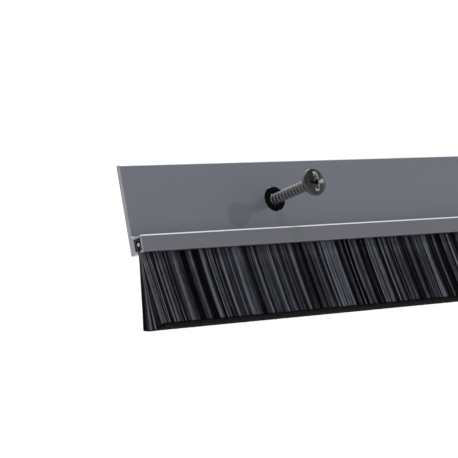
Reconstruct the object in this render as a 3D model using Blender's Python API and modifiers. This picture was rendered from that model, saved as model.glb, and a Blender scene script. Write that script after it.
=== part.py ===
"""Brush door sweep: an aluminium carrier, a slide-in brush and pan-head fixing screws.

Frame: +X along the strip, -Y towards the viewer, +Y into the door leaf, +Z up.
The origin lies on the carrier's back face, half way along, level with the screws.
"""

import math

import bmesh
import bpy

MM = 0.001

# Carrier, an extruded profile
LENGTH = 1000 * MM
FLANGE_T = 2.0 * MM
TOP_Z = 13.9 * MM
FLANGE_H = 25.0 * MM
LIP_DEPTH = 5.75 * MM
LIP_H = 5.8 * MM
LIP_T = 0.85 * MM
WEB_T = 0.8 * MM
POCKET_W = 4.1 * MM
MOUTH_W = 1.9 * MM
FOOT_H = 0.8 * MM
FOOT_R = 0.35 * MM
BACK_EDGE_R = 0.3 * MM
FRONT_EDGE_R = 0.6 * MM
LEDGE_FILLET_R = 0.6 * MM

LEDGE_Z = TOP_Z - FLANGE_H
BOTTOM_Z = LEDGE_Z - LIP_H
LIP_FRONT_Y = -FLANGE_T - LIP_DEPTH
POCKET_TOP_Z = LEDGE_Z - WEB_T
POCKET_FLOOR_Z = BOTTOM_Z + FOOT_H
POCKET_FRONT_Y = LIP_FRONT_Y + LIP_T
BRUSH_Y = POCKET_FRONT_Y + POCKET_W / 2
POCKET_BACK_Y = BRUSH_Y + POCKET_W / 2

# Screws and their bushes
SCREW_COUNT = 6
SCREW_END_X = 61.5 * MM
HOLE_R = 4.44 * MM
HOLE_CUT_DEPTH = 9.0 * MM
BUSH_R = 4.32 * MM
BUSH_INSET = 0.15 * MM
BORE_R = 2.05 * MM
SHANK_R = 1.95 * MM
SHANK_LENGTH = 25.0 * MM
TIP_R = 1.5 * MM
TIP_TAPER = 0.8 * MM
HEAD_R = 4.7 * MM
HEAD_SEAT_R = 4.45 * MM
HEAD_H = 2.4 * MM
RIM_LOW = 0.25 * MM
RIM_HIGH = 0.95 * MM
SEAT_GAP = 0.2 * MM
DRAWN_OUT = 22.0 * MM
RECESS_SPAN = 6.8 * MM
RECESS_ARM = 1.5 * MM
RECESS_DEPTH = 1.8 * MM
RECESS_RIM_DROP = 0.75 * MM
RECESS_STAGGER = 0.085 * MM
RECESS_TAPER = 0.62
BLADE_RISE = 0.6 * MM

# Brush: a folded channel grips filaments doubled over a wire
END_INSET = 0.2 * MM
FIT_GAP = 0.25 * MM
HOLDER_T = 0.45 * MM
HOLDER_TOP_Z = POCKET_TOP_Z - FIT_GAP
HOLDER_W = POCKET_W - 2 * FIT_GAP
HOLDER_FOOT_Z = POCKET_FLOOR_Z + FIT_GAP
HOLDER_CRIMP_H = 2.6 * MM
HOLDER_MOUTH_W = 1.4 * MM
HOLDER_EDGE_R = 0.6 * MM
WIRE_R = 0.65 * MM
WIRE_DROP = 1.8 * MM
ROOT_GAP = 0.1 * MM
ROOT_MOUTH_W = 1.2 * MM
ROOT_CROWN = 0.4
ROOT_END_Z = BOTTOM_Z + 0.35 * MM

# Free bristles, which bend about a line just under the mouth
PIVOT_Z = BOTTOM_Z - 1.2 * MM
BRISTLE_TOP_R = 1.3 * MM
BRISTLE_TIP_Z = BOTTOM_Z - 24.6 * MM
BRISTLE_TIP_W = 13.0 * MM
BRISTLE_LEAN = 0.6 * MM
BRISTLE_TIP_R = 0.5 * MM
BRISTLE_DROP = 1.1 * MM

# How finely round shapes are divided
ROUND_STEPS = 24
HOLE_SIDES = 32
TUNNEL_SIDES = 12
WIRE_RESOLUTION = 2
FILLET_STEPS = 3
CROWN_STEPS = 10
TIP_STEPS = 10
DOME_STEPS = 5
SHARP_DEG = 40
WELD = 0.001 * MM


def collection(name):
    made = bpy.data.collections.new(name)
    bpy.context.scene.collection.children.link(made)
    return made


def material(name, colour, roughness, metallic):
    """Material of one part: a Principled BSDF with its three main values."""
    made = bpy.data.materials.new(name)
    made.use_nodes = True
    shader = made.node_tree.nodes["Principled BSDF"]
    shader.inputs["Base Color"].default_value = (*colour, 1)
    shader.inputs["Roughness"].default_value = roughness
    shader.inputs["Metallic"].default_value = metallic
    return made


def add_object(name, data, group, finish=None):
    made = bpy.data.objects.new(name, data)
    group.objects.link(made)
    if finish:
        data.materials.append(finish)
    return made


def fillet(before, corner, after, radius, steps=FILLET_STEPS):
    """Points of an arc that rounds one corner of an outline."""
    to_before = (before[0] - corner[0], before[1] - corner[1])
    to_after = (after[0] - corner[0], after[1] - corner[1])
    a = math.atan2(to_before[1], to_before[0])
    b = math.atan2(to_after[1], to_after[0])
    turn = (b - a + math.pi) % math.tau - math.pi
    half = abs(turn) / 2
    middle = a + turn / 2
    reach = radius / math.sin(half)
    centre = (corner[0] + reach * math.cos(middle), corner[1] + reach * math.sin(middle))
    sweep = math.copysign(math.pi - 2 * half, turn)
    points = []
    for step in range(steps + 1):
        angle = middle + math.pi + sweep * (0.5 - step / steps)
        points.append((centre[0] + radius * math.cos(angle), centre[1] + radius * math.sin(angle)))
    return points


def outline(corners):
    """Outline from (u, v, radius) corners, where a radius of 0 stays sharp."""
    points = []
    for index, (u, v, radius) in enumerate(corners):
        if radius == 0:
            points.append((u, v))
            continue
        after = corners[(index + 1) % len(corners)]
        points += fillet(corners[index - 1], (u, v), after, radius)
    return points


def circle(centre, radius, steps):
    """Points of a regular polygon that stands for a circle."""
    points = []
    for step in range(steps):
        angle = math.tau * step / steps
        points.append((centre[0] + radius * math.cos(angle), centre[1] + radius * math.sin(angle)))
    return points


def extrusion(name, outlines, length, group, finish=None):
    """Filled outlines in the object's own XY plane, extruded along its Z."""
    curve = bpy.data.curves.new(name, "CURVE")
    curve.dimensions = "2D"
    curve.fill_mode = "BOTH"
    curve.extrude = length / 2
    for points in outlines:
        spline = curve.splines.new("POLY")
        spline.points.add(len(points) - 1)
        for point, (u, v) in zip(spline.points, points):
            point.co = (u, v, 0, 1)
        spline.use_cyclic_u = True
    return add_object(name, curve, group, finish)


def lay_along_strip(piece, y, z):
    """Turns an extrusion so that its outline is in (Y, Z) and its length along X."""
    piece.rotation_euler = (math.radians(90), 0, math.radians(90))
    piece.location = (0, y, z)


def baked_mesh(piece):
    """Mesh of a piece with its modifiers applied and its caps welded; the piece goes."""
    bpy.context.view_layer.update()
    graph = bpy.context.evaluated_depsgraph_get()
    mesh = bpy.data.meshes.new_from_object(piece.evaluated_get(graph))
    edit = bmesh.new()
    edit.from_mesh(mesh)
    bmesh.ops.remove_doubles(edit, verts=edit.verts, dist=WELD)
    bmesh.ops.recalc_face_normals(edit, faces=edit.faces)
    edit.to_mesh(mesh)
    edit.free()
    mesh.shade_smooth()
    mesh.set_sharp_from_angle(angle=math.radians(SHARP_DEG))
    bpy.data.objects.remove(piece)
    return mesh


def cut(piece, cutter):
    boolean = piece.modifiers.new(cutter.name, "BOOLEAN")
    boolean.operation = "DIFFERENCE"
    boolean.object = cutter


def move_to(piece, group):
    for owner in list(piece.users_collection):
        owner.objects.unlink(piece)
    group.objects.link(piece)


def as_cutter(piece):
    piece.hide_render = True
    piece.display_type = "WIRE"
    return piece


def profile_mesh(name, points, closed):
    """Line of (radius, height) points in the XZ plane, ready to be turned."""
    mesh = bpy.data.meshes.new(name)
    edges = [(i, i + 1) for i in range(len(points) - 1)]
    if closed:
        edges.append((len(points) - 1, 0))
    mesh.from_pydata([(r, 0, z) for r, z in points], edges, [])
    return mesh


def turn(piece):
    """Spins a profile about the object's own Z axis."""
    screw = piece.modifiers.new("Turn", "SCREW")
    screw.axis = "Z"
    screw.steps = ROUND_STEPS
    screw.render_steps = ROUND_STEPS
    screw.use_merge_vertices = True
    screw.merge_threshold = WELD
    screw.use_smooth_shade = True


def screw_places():
    """X of each fixing screw, evenly spaced between the two end ones."""
    first = -LENGTH / 2 + SCREW_END_X
    pitch = (LENGTH - 2 * SCREW_END_X) / (SCREW_COUNT - 1)
    return [first + pitch * index for index in range(SCREW_COUNT)]


def make_hole_cutter(x, number, group):
    """Round cutter through the flange, clear past both of its faces."""
    bpy.ops.mesh.primitive_cylinder_add(vertices=HOLE_SIDES, radius=HOLE_R, depth=HOLE_CUT_DEPTH)
    hole = bpy.context.object
    hole.name = f"hole_cutter_{number}"
    hole.rotation_euler = (math.radians(90), 0, 0)
    hole.location = (x, 0, 0)
    move_to(hole, group)
    return as_cutter(hole)


def make_carrier(parts, cutters):
    """Flat flange, thin ledge, front lip and the pocket that grips the brush.

    All the screw holes are cut in one pass.
    """
    aluminium = material("satin_aluminium", (0.12, 0.125, 0.15), 0.48, 0.6)
    foot_front = BRUSH_Y - MOUTH_W / 2
    foot_back = BRUSH_Y + MOUTH_W / 2
    corners = [
        (0, TOP_Z, BACK_EDGE_R),
        (-FLANGE_T, TOP_Z, FRONT_EDGE_R),
        (-FLANGE_T, LEDGE_Z, LEDGE_FILLET_R),
        (LIP_FRONT_Y, LEDGE_Z, FRONT_EDGE_R),
        (LIP_FRONT_Y, BOTTOM_Z, FOOT_R),
        (foot_front, BOTTOM_Z, FOOT_R),
        (foot_front, POCKET_FLOOR_Z, FOOT_R),
        (POCKET_FRONT_Y, POCKET_FLOOR_Z, 0),
        (POCKET_FRONT_Y, POCKET_TOP_Z, 0),
        (POCKET_BACK_Y, POCKET_TOP_Z, 0),
        (POCKET_BACK_Y, POCKET_FLOOR_Z, 0),
        (foot_back, POCKET_FLOOR_Z, FOOT_R),
        (foot_back, BOTTOM_Z, FOOT_R),
        (0, BOTTOM_Z, BACK_EDGE_R),
    ]
    profile = extrusion("carrier_profile", [outline(corners)], LENGTH, parts)
    carrier = add_object("carrier", baked_mesh(profile), parts, aluminium)
    lay_along_strip(carrier, 0, 0)
    for number, x in enumerate(screw_places(), start=1):
        make_hole_cutter(x, number, cutters)
    holes = carrier.modifiers.new("Holes", "BOOLEAN")
    holes.operation = "DIFFERENCE"
    holes.solver = "EXACT"
    holes.operand_type = "COLLECTION"
    holes.collection = cutters
    return carrier


def make_brush_holder(parts):
    """Folded steel channel with its two legs crimped in on the filaments."""
    steel = material("galvanised_steel", (0.18, 0.185, 0.19), 0.45, 1.0)
    half = HOLDER_W / 2
    mouth = HOLDER_MOUTH_W / 2
    crimp_z = HOLDER_FOOT_Z + HOLDER_CRIMP_H
    inner_r = HOLDER_EDGE_R - HOLDER_T
    corners = [
        (half, HOLDER_TOP_Z, HOLDER_EDGE_R),
        (-half, HOLDER_TOP_Z, HOLDER_EDGE_R),
        (-half, crimp_z, 0),
        (-mouth - HOLDER_T, HOLDER_FOOT_Z, 0),
        (-mouth, HOLDER_FOOT_Z, 0),
        (-half + HOLDER_T, crimp_z, 0),
        (-half + HOLDER_T, HOLDER_TOP_Z - HOLDER_T, inner_r),
        (half - HOLDER_T, HOLDER_TOP_Z - HOLDER_T, inner_r),
        (half - HOLDER_T, crimp_z, 0),
        (mouth, HOLDER_FOOT_Z, 0),
        (mouth + HOLDER_T, HOLDER_FOOT_Z, 0),
        (half, crimp_z, 0),
    ]
    length = LENGTH - 2 * END_INSET
    holder = extrusion("brush_holder", [outline(corners)], length, parts, steel)
    lay_along_strip(holder, BRUSH_Y, 0)
    return holder


def make_bristle_root(parts):
    """The doubled part of the filaments, looped over the wire inside the channel."""
    nylon = material("black_root_filament", (0.02, 0.021, 0.026), 0.6, 0.0)
    half = HOLDER_W / 2 - HOLDER_T - ROOT_GAP
    mouth = ROOT_MOUTH_W / 2
    top = HOLDER_TOP_Z - HOLDER_T - ROOT_GAP
    crimp_z = HOLDER_FOOT_Z + HOLDER_CRIMP_H
    corners = [
        (half, top, half * ROOT_CROWN),
        (-half, top, half * ROOT_CROWN),
        (-half, crimp_z, 0),
        (-mouth, HOLDER_FOOT_Z, 0),
        (-mouth, ROOT_END_Z, 0),
        (mouth, ROOT_END_Z, 0),
        (mouth, HOLDER_FOOT_Z, 0),
        (half, crimp_z, 0),
    ]
    tunnel = circle((0, HOLDER_TOP_Z - WIRE_DROP), WIRE_R + ROOT_GAP, TUNNEL_SIDES)
    length = LENGTH - 4 * END_INSET
    root = extrusion("bristle_root", [outline(corners), tunnel], length, parts, nylon)
    lay_along_strip(root, BRUSH_Y, 0)
    return root


def make_core_wire(parts):
    """Round wire that the filaments are folded over."""
    steel = material("core_wire_steel", (0.35, 0.355, 0.36), 0.3, 1.0)
    curve = bpy.data.curves.new("core_wire", "CURVE")
    curve.dimensions = "3D"
    curve.bevel_depth = WIRE_R
    curve.bevel_resolution = WIRE_RESOLUTION
    curve.use_fill_caps = True
    spline = curve.splines.new("POLY")
    spline.points.add(1)
    reach = LENGTH / 2 - END_INSET
    spline.points[0].co = (-reach, 0, 0, 1)
    spline.points[1].co = (reach, 0, 0, 1)
    wire = add_object("core_wire", curve, parts, steel)
    wire.location = (0, BRUSH_Y, HOLDER_TOP_Z - WIRE_DROP)
    return wire


def side_angle(reach, tip_z):
    """Angle at which a straight side leaves the round top for a tip that far out."""
    return math.atan2(reach, -tip_z) - math.asin(BRISTLE_TOP_R / math.hypot(reach, tip_z))


def tip_points(half_tip, tip_z):
    """Bowed line of the cut tips, lowest in the middle, because the strands fan out."""
    radius = (half_tip**2 + BRISTLE_DROP**2) / (2 * BRISTLE_DROP)
    widest = math.asin(half_tip / radius)
    points = []
    for step in range(1, TIP_STEPS):
        angle = widest * (2 * step / TIP_STEPS - 1)
        drop = radius * math.cos(angle) - radius + BRISTLE_DROP
        points.append((radius * math.sin(angle) - BRISTLE_LEAN, tip_z - drop))
    return points


def make_bristles(parts):
    """Free length of the brush: a flared wedge, round on top about its bending line.

    The fan reaches a little further to the front than to the back.
    """
    nylon = material("black_bristle_filament", (0.03, 0.031, 0.038), 0.5, 0.0)
    tip_z = BRISTLE_TIP_Z - PIVOT_Z
    half_tip = BRISTLE_TIP_W / 2
    front_tip = (-half_tip - BRISTLE_LEAN, tip_z)
    back_tip = (half_tip - BRISTLE_LEAN, tip_z)
    first = side_angle(back_tip[0], tip_z)
    last = math.pi - side_angle(-front_tip[0], tip_z)
    crown = []
    for step in range(CROWN_STEPS + 1):
        angle = first + (last - first) * step / CROWN_STEPS
        crown.append((BRISTLE_TOP_R * math.cos(angle), BRISTLE_TOP_R * math.sin(angle)))
    tips = tip_points(half_tip, tip_z)
    points = crown + fillet(crown[-1], front_tip, tips[0], BRISTLE_TIP_R) + tips
    points += fillet(tips[-1], back_tip, crown[0], BRISTLE_TIP_R)
    length = LENGTH - 2 * END_INSET
    bristles = extrusion("bristles", [points], length, parts, nylon)
    lay_along_strip(bristles, BRUSH_Y, PIVOT_Z)
    return bristles


def make_recess_blade(name, angle, depth, group):
    """Bar that narrows with depth and cuts one slot of the cross recess."""
    bpy.ops.mesh.primitive_cube_add(size=1)
    blade = bpy.context.object
    blade.name = name
    slope = (1 - RECESS_TAPER) / (depth - RECESS_RIM_DROP)
    for vertex in blade.data.vertices:
        height = BLADE_RISE if vertex.co.z > 0 else -depth
        wide = 1 + slope * (height + RECESS_RIM_DROP)
        vertex.co.x *= RECESS_SPAN * wide
        vertex.co.y *= RECESS_ARM * wide
        vertex.co.z = height
    blade.location = (0, 0, HEAD_H)
    blade.rotation_euler = (0, 0, math.radians(angle))
    move_to(blade, group)
    return as_cutter(blade)


def dome_points(steps=DOME_STEPS):
    """Domed top of the head, from its middle out to the rim."""
    rise = HEAD_H - RIM_HIGH
    radius = (HEAD_R**2 + rise**2) / (2 * rise)
    widest = math.asin(HEAD_R / radius)
    points = []
    for step in range(steps + 1):
        angle = widest * step / steps
        points.append((radius * math.sin(angle), HEAD_H - radius * (1 - math.cos(angle))))
    return points


def screw_mesh(parts, cutters):
    """Pan-head screw with its seat at z = 0, head up and shank down."""
    shank = [
        (HEAD_R, RIM_LOW),
        (HEAD_SEAT_R, 0),
        (SHANK_R, 0),
        (SHANK_R, TIP_TAPER - SHANK_LENGTH),
        (TIP_R, -SHANK_LENGTH),
        (0, -SHANK_LENGTH),
    ]
    profile = profile_mesh("screw_profile", dome_points() + shank, closed=False)
    blank = add_object("screw_blank", profile, parts)
    turn(blank)
    solid = add_object("screw_solid", baked_mesh(blank), parts)
    deeper = RECESS_DEPTH + RECESS_STAGGER
    cut(solid, make_recess_blade("recess_blade_across", 0, RECESS_DEPTH, cutters))
    cut(solid, make_recess_blade("recess_blade_upright", 90, deeper, cutters))
    return baked_mesh(solid)


def bush_mesh(parts):
    """Flush ring that fills a hole of the flange around the screw."""
    low = BUSH_INSET
    high = FLANGE_T - BUSH_INSET
    points = [(BUSH_R, high), (BUSH_R, low), (BORE_R, low), (BORE_R, high)]
    blank = add_object("bush_blank", profile_mesh("bush_profile", points, closed=True), parts)
    turn(blank)
    return baked_mesh(blank)


def make_fixings(parts, cutters):
    """Screws and bushes; the first screw is drawn out and the others are driven home."""
    dark_steel = material("dark_screw_steel", (0.04, 0.04, 0.043), 0.3, 1.0)
    nylon = material("black_bush_nylon", (0.01, 0.01, 0.012), 0.7, 0.0)
    screw_shape = screw_mesh(parts, cutters)
    screw_shape.materials.append(dark_steel)
    bush_shape = bush_mesh(parts)
    bush_shape.materials.append(nylon)
    for number, x in enumerate(screw_places(), start=1):
        seat_y = -FLANGE_T - SEAT_GAP
        if number == 1:
            seat_y -= DRAWN_OUT
        screw = add_object(f"screw_{number}", screw_shape, parts)
        screw.location = (x, seat_y, 0)
        bush = add_object(f"screw_bush_{number}", bush_shape, parts)
        bush.location = (x, 0, 0)
        for piece in (screw, bush):
            piece.rotation_euler = (math.radians(90), 0, 0)


def main():
    for old in list(bpy.data.objects):
        bpy.data.objects.remove(old)
    parts = collection("door_sweep")
    cutters = collection("cutters")
    make_carrier(parts, collection("hole_cutters"))
    make_brush_holder(parts)
    make_bristle_root(parts)
    make_core_wire(parts)
    make_bristles(parts)
    make_fixings(parts, cutters)


main()
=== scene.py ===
"""Looks of the brush door sweep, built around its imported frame.

Frame: +X along the strip, -Y towards the viewer, +Y into the door leaf, +Z up, in metres.
"""
import math

import bmesh
import bpy
import numpy as np
from mathutils import Matrix, Quaternion, Vector


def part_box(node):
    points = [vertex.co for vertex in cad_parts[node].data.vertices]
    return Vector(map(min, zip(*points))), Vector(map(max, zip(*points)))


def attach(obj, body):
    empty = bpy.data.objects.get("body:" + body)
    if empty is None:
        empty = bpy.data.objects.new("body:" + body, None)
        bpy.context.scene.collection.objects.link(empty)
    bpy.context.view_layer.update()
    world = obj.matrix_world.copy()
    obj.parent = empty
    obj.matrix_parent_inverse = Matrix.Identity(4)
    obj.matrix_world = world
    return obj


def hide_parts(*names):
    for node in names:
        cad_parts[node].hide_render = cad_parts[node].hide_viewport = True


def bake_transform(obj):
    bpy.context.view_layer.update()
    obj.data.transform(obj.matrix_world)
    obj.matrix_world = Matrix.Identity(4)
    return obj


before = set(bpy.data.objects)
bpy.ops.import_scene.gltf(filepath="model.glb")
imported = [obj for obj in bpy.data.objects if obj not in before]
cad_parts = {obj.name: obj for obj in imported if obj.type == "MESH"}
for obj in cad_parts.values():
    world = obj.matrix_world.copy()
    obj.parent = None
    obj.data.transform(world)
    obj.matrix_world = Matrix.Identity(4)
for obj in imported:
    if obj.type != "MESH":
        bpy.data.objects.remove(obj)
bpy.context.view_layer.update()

MM = 0.001

# Boxes of the frame's nodes that the detailed pieces take their places from
CARRIER_LOW, CARRIER_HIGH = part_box("carrier")
HOLDER_LOW, HOLDER_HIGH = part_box("brush_holder")
WIRE_LOW, WIRE_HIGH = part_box("core_wire")
BRISTLES_LOW, BRISTLES_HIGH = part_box("bristles")
SCREWS = [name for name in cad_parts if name.startswith("screw_") and "bush" not in name]

# Carrier section
FLANGE_T = 2.0 * MM
LIP_H = 5.8 * MM
LIP_T = 0.85 * MM
WEB_T = 0.8 * MM
POCKET_W = 4.1 * MM
MOUTH_W = 1.9 * MM
FOOT_H = 0.8 * MM
FOOT_R = 0.35 * MM
BACK_EDGE_R = 0.3 * MM
FRONT_EDGE_R = 0.6 * MM
LEDGE_FILLET_R = 0.6 * MM
INNER_EDGE_R = 0.15 * MM
END_EDGE = 0.09 * MM
HOLE_R = 4.44 * MM
HOLE_EDGE = 0.05 * MM

# Brush channel and wire
HOLDER_T = 0.45 * MM
HOLDER_EDGE_R = 0.6 * MM
HOLDER_CRIMP_H = 2.6 * MM
HOLDER_MOUTH_W = 1.4 * MM
HOLDER_FOLD_R = 0.15 * MM
HOLDER_END_EDGE = 0.05 * MM
WIRE_R = 0.65 * MM
WIRE_EDGE = 0.12 * MM

# Bushes
BUSH_R = 4.32 * MM
BUSH_INSET = 0.15 * MM
BUSH_EDGE = 0.18 * MM
BORE_R = 2.05 * MM

# Steps round a full turn
HOLE_STEPS = 72
HEAD_TURN_STEPS = 96
CORE_STEPS = 32
WIRE_STEPS = 28

# Angles in degrees above which an edge is drawn sharp, or is softened
FLAT_SHARP = 32
ROUND_SHARP = 60
SOFTEN_ANGLE = 35

# Full say for large faces over small ones in the direction of a shared corner
LARGE_FACE_WEIGHT = 100

# Share of a softened edge's width from the true corner to the middle of its two steps
ROUNDING = 0.3

# Below this radius a turned point lies on the axis
ON_AXIS = 1e-9

# Turns a solid made about Z so that its top looks to the front
TO_FRONT = Matrix.Rotation(math.radians(90), 4, "X")

# Camera, measured from the flange's upper left corner on the door side; angles in degrees
CAMERA_OFFSET = (-0.3010, -0.4665, -0.1201)
CAMERA_AZIMUTH = -36.25
CAMERA_ELEVATION = -9.5
CAMERA_ROLL = -10.14
CAMERA_LENS = 134.56
CAMERA_SENSOR = 36.0


# ---------------------------------------------------------------- outlines and bars

def fillet(before, corner, after, radius, steps=8):
    """Points of an arc that rounds one corner of an outline."""
    to_before = (before[0] - corner[0], before[1] - corner[1])
    to_after = (after[0] - corner[0], after[1] - corner[1])
    a = math.atan2(to_before[1], to_before[0])
    b = math.atan2(to_after[1], to_after[0])
    turn = (b - a + math.pi) % math.tau - math.pi
    half = abs(turn) / 2
    middle = a + turn / 2
    reach = radius / math.sin(half)
    centre = (corner[0] + reach * math.cos(middle), corner[1] + reach * math.sin(middle))
    sweep = math.copysign(math.pi - 2 * half, turn)
    points = []
    for step in range(steps + 1):
        angle = middle + math.pi + sweep * (0.5 - step / steps)
        points.append((centre[0] + radius * math.cos(angle), centre[1] + radius * math.sin(angle)))
    return points


def outline(corners):
    """Outline from (y, z, radius) corners."""
    points = []
    for index, (y, z, radius) in enumerate(corners):
        after = corners[(index + 1) % len(corners)]
        points += fillet(corners[index - 1], (y, z), after, radius)
    return points


def inset(points, distance):
    """The outline moved inwards by a small distance, corner by corner."""
    area = sum(a[0] * b[1] - b[0] * a[1] for a, b in zip(points, points[1:] + points[:1]))
    side = math.copysign(1, area)
    moved = []
    for index, point in enumerate(points):
        here = Vector(point)
        before = here - Vector(points[index - 1])
        after = Vector(points[(index + 1) % len(points)]) - here
        normals = [Vector((-d.y, d.x)).normalized() * side for d in (before, after)]
        both = normals[0] + normals[1]
        moved.append(here + both * (distance / (1 + normals[0].dot(normals[1]))))
    return [(p.x, p.y) for p in moved]


def finished_mesh(name, edit):
    """Mesh made from an edit, which is freed."""
    mesh = bpy.data.meshes.new(name)
    edit.to_mesh(mesh)
    edit.free()
    return mesh


def bar_mesh(name, points, low_x, high_x, end_edge):
    """Bar along X with a (y, z) outline and finely broken end edges."""
    small = inset(points, end_edge)
    stations = [(low_x, small), (low_x + end_edge, points)]
    stations += [(high_x - end_edge, points), (high_x, small)]
    edit = bmesh.new()
    rings = [[edit.verts.new((x, y, z)) for y, z in ring] for x, ring in stations]
    count = len(points)
    for ring, following in zip(rings, rings[1:]):
        for i in range(count):
            j = (i + 1) % count
            edit.faces.new((ring[i], ring[j], following[j], following[i]))
    edit.faces.new(rings[0])
    edit.faces.new(rings[-1])
    bmesh.ops.recalc_face_normals(edit, faces=edit.faces)
    return finished_mesh(name, edit)


def turned_mesh(name, points, steps, closed=False):
    """Solid turned about Z from (radius, z) points; an open line starts and ends on the axis."""
    edit = bmesh.new()
    rings = []
    for radius, z in points:
        if radius < ON_AXIS:
            rings.append([edit.verts.new((0, 0, z))])
            continue
        angles = [math.tau * i / steps for i in range(steps)]
        rings.append([edit.verts.new((radius * math.cos(a), radius * math.sin(a), z)) for a in angles])
    pairs = list(zip(rings, rings[1:] + rings[:1])) if closed else list(zip(rings, rings[1:]))
    for ring, following in pairs:
        for i in range(steps):
            j = (i + 1) % steps
            corners = [ring[i % len(ring)], ring[j % len(ring)]]
            corners += [following[j % len(following)], following[i % len(following)]]
            edit.faces.new(list(dict.fromkeys(corners)))
    bmesh.ops.recalc_face_normals(edit, faces=edit.faces)
    return finished_mesh(name, edit)


def evaluated_mesh(piece):
    """Mesh of a piece with its modifiers applied; the piece goes."""
    bpy.context.view_layer.update()
    graph = bpy.context.evaluated_depsgraph_get()
    mesh = bpy.data.meshes.new_from_object(piece.evaluated_get(graph))
    bpy.data.objects.remove(piece)
    return mesh


def scene_object(name, mesh):
    made = bpy.data.objects.new(name, mesh)
    bpy.context.scene.collection.objects.link(made)
    return made


def subtract(mesh, *cutters, bevel=0.0):
    """The mesh with the cutters' shapes taken out and its new edges softened."""
    solid = scene_object("solid", mesh)
    tools = [scene_object("tool", cutter) for cutter in cutters]
    for tool in tools:
        boolean = solid.modifiers.new("cut", "BOOLEAN")
        boolean.operation = "DIFFERENCE"
        boolean.object = tool
    if bevel:
        soften = solid.modifiers.new("soften", "BEVEL")
        soften.width = bevel
        soften.segments = 2
        soften.limit_method = "ANGLE"
        soften.angle_limit = math.radians(SOFTEN_ANGLE)
        soften.use_clamp_overlap = False
    made = evaluated_mesh(solid)
    for tool in tools:
        bpy.data.objects.remove(tool)
    return made


def shade(mesh, sharp=FLAT_SHARP):
    mesh.shade_smooth()
    mesh.set_sharp_from_angle(angle=math.radians(sharp))


def keep_flats_flat(piece):
    """Large flat faces keep their own direction beside small rounded edges."""
    weighted = piece.modifiers.new("weighted", "WEIGHTED_NORMAL")
    weighted.keep_sharp = True
    weighted.weight = LARGE_FACE_WEIGHT


def dress(name, mesh, finish, body, stands_for):
    """A finished rigid piece that stands for a CAD node and rides on its body."""
    mesh.materials.clear()
    mesh.materials.append(finish)
    piece = scene_object(name, mesh)
    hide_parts(stands_for)
    if body:
        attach(piece, body)
    return piece


# ---------------------------------------------------------------- materials

# Axes of a separated vector
AXIS_X, AXIS_Y, AXIS_Z = range(3)

# The band that holds nearly all of a noise texture's values, and a narrower one for more contrast
NOISE_LOW, NOISE_HIGH = 0.3, 0.7
STARK_LOW, STARK_HIGH = 0.35, 0.65
NOISE_ROUGHNESS = 0.55

# How far a face has to look along the strip to count as a cut end
END_LOW, END_HIGH = 0.5, 0.9

# Aluminium: skin between its die lines, clouds on it, lip, a painted highlight along the upper edges and
# sawn ends
SKIN_DARK, SKIN_LIGHT = (0.081, 0.085, 0.107), (0.087, 0.092, 0.114)
# Clouds: tone that differs at random, lighter in soft patches that also paint faint reflections across the
# face
CLOUD_AND_SHEEN_COLOUR, CLOUD_AND_SHEEN_SHARE = (0.110, 0.113, 0.128, 1), 0.10
LIP_COLOUR, LIP_SHARE = (0.060, 0.056, 0.068, 1), 0.5
# Painted highlight: a near-white, less metallic colour on the long edges that look up
PAINTED_HIGHLIGHT_COLOUR, PAINTED_HIGHLIGHT_SHARE = (0.50, 0.505, 0.515, 1), 0.9
SAWN_DARK, SAWN_LIGHT = (0.12, 0.12, 0.127), (0.175, 0.175, 0.182)
SKIN_METAL, PAINTED_HIGHLIGHT_METAL = 0.55, 0.10
SKIN_ROUGH = 0.46, 0.52
SKIN_RELIEF = 0.0015 * MM
HIGHLIGHT_SLANT_LOW, HIGHLIGHT_SLANT_HIGH = 0.05, 0.22
HIGHLIGHT_FROM, HIGHLIGHT_FULL = 6 * MM, 8 * MM
LIP_BLEND = 0.5 * MM
LIP_BLEND_AHEAD = 1.5 * MM

# Brush channel
ZINC_DARK, ZINC_LIGHT = (0.13, 0.135, 0.14), (0.20, 0.205, 0.21)
ZINC_ROUGH = 0.34, 0.50
SPANGLE_LOW, SPANGLE_HIGH = 0.2, 0.8
# Near-black painted shade on the channel's cut ends, deep in the pocket
PAINTED_SHADE_END_COLOUR = (0.008, 0.008, 0.009, 1)

# Filament tones from the darkest strand to the lightest; the lighter tones are painted sheen on the
# filaments
FILAMENT_TONES_AND_SHEEN = (
    (0.00, (0.0004, 0.0004, 0.0006)),
    (0.28, (0.0045, 0.0046, 0.0058)),
    (0.52, (0.0165, 0.0172, 0.0217)),
    (0.76, (0.0385, 0.0404, 0.0493)),
    (1.00, (0.0760, 0.0804, 0.0963)),
)
FILAMENT_MOTTLE = 0.07
FILAMENT_ROUGH = 0.62, 0.40
FILAMENT_SPECULAR = 0.02
PLASTIC_SPECULAR = 0.03

# Screw head
HEAD_DARK, HEAD_LIGHT = (0.018, 0.018, 0.020), (0.030, 0.030, 0.033)
HEAD_ROUGH = 0.30, 0.38
FINE_RELIEF = 0.006 * MM


def new_material(name):
    made = bpy.data.materials.new(name)
    made.use_nodes = True
    return made, made.node_tree, made.node_tree.nodes["Principled BSDF"]


def add_node(tree, kind, settings=None, **inputs):
    """A node with its settings and its inputs, each a value or another node's output."""
    made = tree.nodes.new(kind)
    for key, value in (settings or {}).items():
        setattr(made, key, value)
    for key, value in inputs.items():
        socket = made.inputs[int(key[1:])] if key[0] == "i" and key[1:].isdigit() else made.inputs[key]
        if isinstance(value, bpy.types.NodeSocket):
            tree.links.new(value, socket)
        else:
            socket.default_value = value
    return made


def stretched(tree, scale):
    """Object coordinates scaled per axis, in features per metre."""
    coords = add_node(tree, "ShaderNodeTexCoord")
    return add_node(tree, "ShaderNodeMapping", Vector=coords.outputs["Object"], Scale=scale).outputs[0]


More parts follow.
